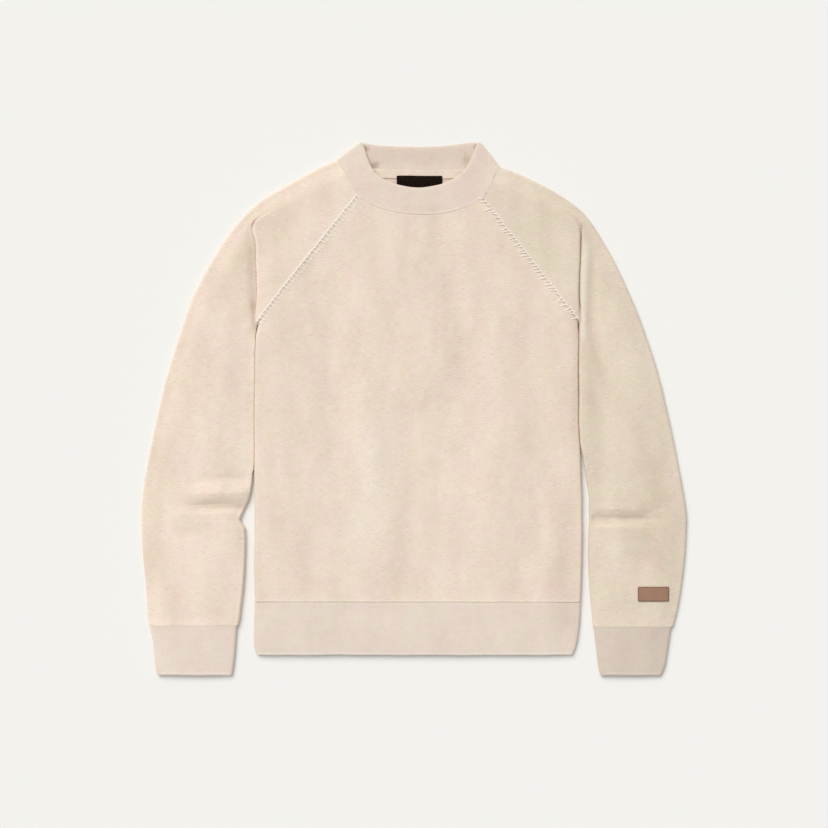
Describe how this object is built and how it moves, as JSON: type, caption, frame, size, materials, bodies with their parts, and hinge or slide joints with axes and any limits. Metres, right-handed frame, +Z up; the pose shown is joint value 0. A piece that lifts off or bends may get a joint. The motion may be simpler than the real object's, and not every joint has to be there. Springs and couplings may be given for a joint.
{
  "type": "crewneck sweatshirt",
  "caption": "Oatmeal fleece crewneck sweatshirt laid flat on its back, with raglan sleeves, ribbed neckband, hem and cuffs, a blank neck label and a blank leather sleeve patch.",
  "frame": {"origin": "on the table, under the middle of the laid garment", "axes": "+Z up from the table, +Y from hem to neck, +X to the wearer's left"},
  "size_m": [0.7106, 0.6954, 0.0097],
  "materials": {
    "fleece": "matte",
    "rib": "matte",
    "label": "satin",
    "patch": "matte"
  },
  "bodies": {
    "root": {"front": "fleece", "back": "fleece", "right_sleeve": "fleece", "left_sleeve": "fleece", "neckband": "rib", "hem_band": "rib", "right_cuff": "rib", "left_cuff": "rib", "neck_tape": "fleece", "neck_label": "label", "sleeve_patch": "patch"}
  },
  "joints": []
}
